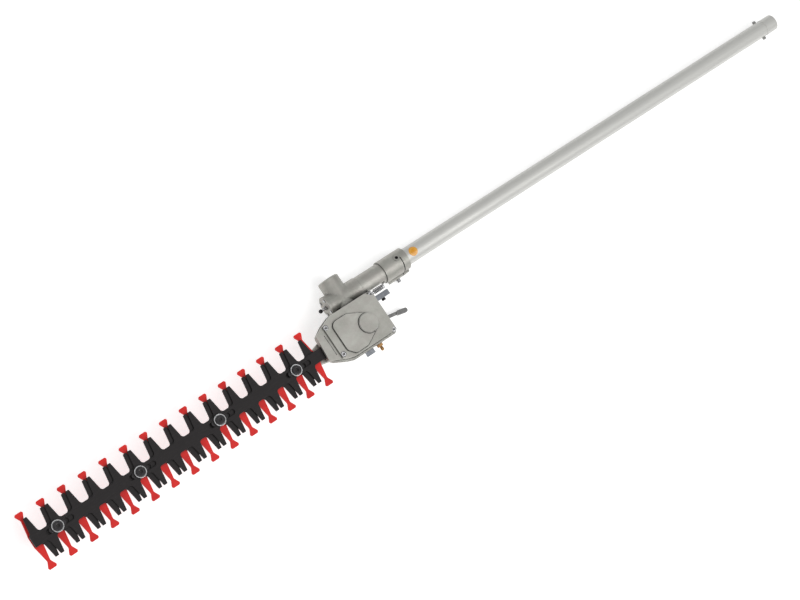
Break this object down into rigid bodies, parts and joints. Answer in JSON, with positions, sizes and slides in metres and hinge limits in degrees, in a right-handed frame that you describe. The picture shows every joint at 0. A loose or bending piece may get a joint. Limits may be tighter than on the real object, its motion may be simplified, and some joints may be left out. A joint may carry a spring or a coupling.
{
  "type": "pole hedge trimmer",
  "caption": "Pole hedge trimmer: a straight drive pole with a tilting gear head, two reciprocating toothed blades over a red guard bar, and a spring latch for the tilt.",
  "frame": {"origin": "centre of the pole's free end face", "axes": "+X out of the pole's free end, along the pole; the cutter is at -X. +Z is the cover side of the head; the blades lie in a plane of constant Z. +Y is the side of the housing's boss, away from the blades. The tilt axis is parallel to Y."},
  "size_m": [1.4123, 0.1266, 0.0672],
  "materials": {
    "anodised_pole": "satin clear anodised, drawn lengthwise",
    "white_plastic": "matte moulded",
    "liner_plastic": "matte moulded",
    "orange_sticker": "glossy film",
    "cast_aluminium": "fine blasted casting",
    "dark_steel": "black oxide",
    "bright_steel": "bright zinc",
    "ground_steel": "ground",
    "gear_steel": "hardened, oiled",
    "gasket_sheet": "matte sheet",
    "red_enamel": "gloss enamel",
    "black_blade": "satin black with ground edges",
    "zinc_plate": "blue zinc",
    "brass": "turned"
  },
  "bodies": {
    "pole": {"pole_tube": "anodised_pole", "pole_end_bush": "white_plastic", "liner_bushes": "liner_plastic", "locating_studs": "bright_steel", "pole_sticker": "orange_sticker", "pole_housing": "cast_aluminium", "boss_plug": "dark_steel", "front_cap": "cast_aluminium", "front_cap_screws": "bright_steel", "pole_grease_nipple": "bright_steel", "clamp_bolt": "bright_steel", "locating_screw": "dark_steel", "pinion_bearings": "ground_steel", "boss_bearing": "ground_steel", "index_plate": "dark_steel", "index_screws": "bright_steel"},
    "drive_shaft": {"drive_shaft": "ground_steel"},
    "pinion": {"pinion_shaft": "ground_steel", "drive_pinion": "gear_steel"},
    "head": {"gear_case": "cast_aluminium", "case_gasket": "gasket_sheet", "crank_cover": "cast_aluminium", "cover_screws": "bright_steel", "neck_bearing": "ground_steel", "case_bearing": "ground_steel", "crank_bearing_upper": "ground_steel", "crank_bearing_lower": "ground_steel", "guard_bar": "red_enamel", "guard_screws": "bright_steel", "blade_bolts": "dark_steel", "blade_washers": "bright_steel", "blade_spacers": "dark_steel", "blade_nuts": "bright_steel", "latch_bracket": "zinc_plate", "side_bracket": "zinc_plate", "bracket_screws": "dark_steel", "latch_bolt": "bright_steel", "latch_spring": "bright_steel", "side_nipple": "brass"},
    "cross": {"cross_shaft": "ground_steel", "cross_gear": "gear_steel", "cross_pinion": "gear_steel"},
    "crank": {"crankshaft": "ground_steel", "crank_gear": "gear_steel"},
    "upper_rod": {"upper_rod": "ground_steel", "upper_rod_pin": "ground_steel"},
    "lower_rod": {"lower_rod": "ground_steel", "lower_rod_pin": "ground_steel"},
    "upper_blade": {"upper_blade": "black_blade"},
    "lower_blade": {"lower_blade": "black_blade"},
    "latch": {"latch_lever": "bright_steel"}
  },
  "joints": [
    {"name": "drive_spin", "type": "hinge", "parent": "pole", "child": "drive_shaft", "pos_m": [0, 0, 0], "axis": [1, 0, 0], "continuous": true},
    {"name": "pinion_roll", "type": "hinge", "parent": "drive_shaft", "child": "pinion", "pos_m": [-0.868, 0, 0], "axis": [1, 0, 0], "range_deg": [-136, 136]},
    {"name": "head_tilt", "type": "hinge", "parent": "pole", "child": "head", "pos_m": [-0.868, 0, 0], "axis": [0, 1, 0], "range_deg": [-90, 90]},
    {"name": "cross_spin", "type": "hinge", "parent": "head", "child": "cross", "pos_m": [-0.868, 0, 0], "axis": [0, 1, 0], "continuous": true},
    {"name": "crank_spin", "type": "hinge", "parent": "head", "child": "crank", "pos_m": [-0.868, -0.051, 0], "axis": [0, 0, 1], "continuous": true},
    {"name": "upper_rod_turn", "type": "hinge", "parent": "crank", "child": "upper_rod", "pos_m": [-0.8642, -0.04396, 0.034], "axis": [0, 0, 1], "continuous": true},
    {"name": "lower_rod_turn", "type": "hinge", "parent": "crank", "child": "lower_rod", "pos_m": [-0.8718, -0.05804, 0.02], "axis": [0, 0, 1], "continuous": true},
    {"name": "upper_blade_slide", "type": "slide", "parent": "head", "child": "upper_blade", "axis": [1, 0, 0], "range_m": [-0.0118, 0.0042]},
    {"name": "lower_blade_slide", "type": "slide", "parent": "head", "child": "lower_blade", "axis": [1, 0, 0], "range_m": [-0.0042, 0.0118]},
    {"name": "latch_pull", "type": "hinge", "parent": "head", "child": "latch", "pos_m": [-0.838, -0.04, -0.018], "axis": [0, 1, 0], "range_deg": [-8, 6], "stiffness_Nm_per_rad": 3}
  ],
  "couplings": [
    {"joint": "pinion_roll", "follows": "head_tilt", "ratio": -1.5},
    {"joint": "cross_spin", "follows": "drive_spin", "ratio": -0.66667},
    {"joint": "crank_spin", "follows": "drive_spin", "ratio": 0.22222},
    {"joint": "upper_rod_turn", "follows": "drive_spin", "ratio": -0.22222},
    {"joint": "lower_rod_turn", "follows": "drive_spin", "ratio": -0.22222},
    {"joint": "lower_blade_slide", "follows": "upper_blade_slide", "ratio": -1}
  ]
}
